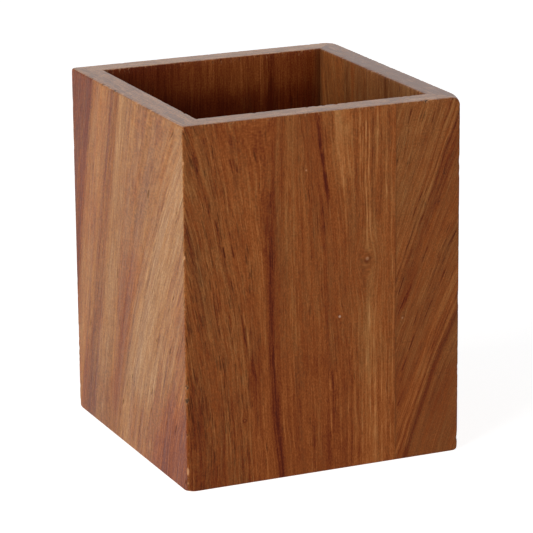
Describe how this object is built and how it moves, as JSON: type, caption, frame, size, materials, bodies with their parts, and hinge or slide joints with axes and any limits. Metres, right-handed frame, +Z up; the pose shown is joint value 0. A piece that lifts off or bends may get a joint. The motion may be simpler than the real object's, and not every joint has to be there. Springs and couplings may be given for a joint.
{
  "type": "wooden pen holder",
  "caption": "Square open-top wooden pen holder with mitred walls glued up from staves and a floor panel held in a groove.",
  "frame": {"origin": "centre of the foot of the walls, on the surface that the holder stands on", "axes": "+Z up through the open mouth, -Y out of the front wall, -X out of the left wall"},
  "size_m": [0.08, 0.08, 0.099],
  "materials": {
    "front_wide_wood": "satin oiled",
    "front_narrow_wood": "satin oiled",
    "right_wide_wood": "satin oiled",
    "right_narrow_wood": "satin oiled",
    "back_wood": "satin oiled",
    "left_wood": "satin oiled",
    "floor_wood": "satin oiled"
  },
  "bodies": {
    "root": {"front_wide_stave": "front_wide_wood", "front_narrow_stave": "front_narrow_wood", "right_wide_stave": "right_wide_wood", "right_narrow_stave": "right_narrow_wood", "back_board": "back_wood", "left_board": "left_wood", "base_panel": "floor_wood"}
  },
  "joints": []
}
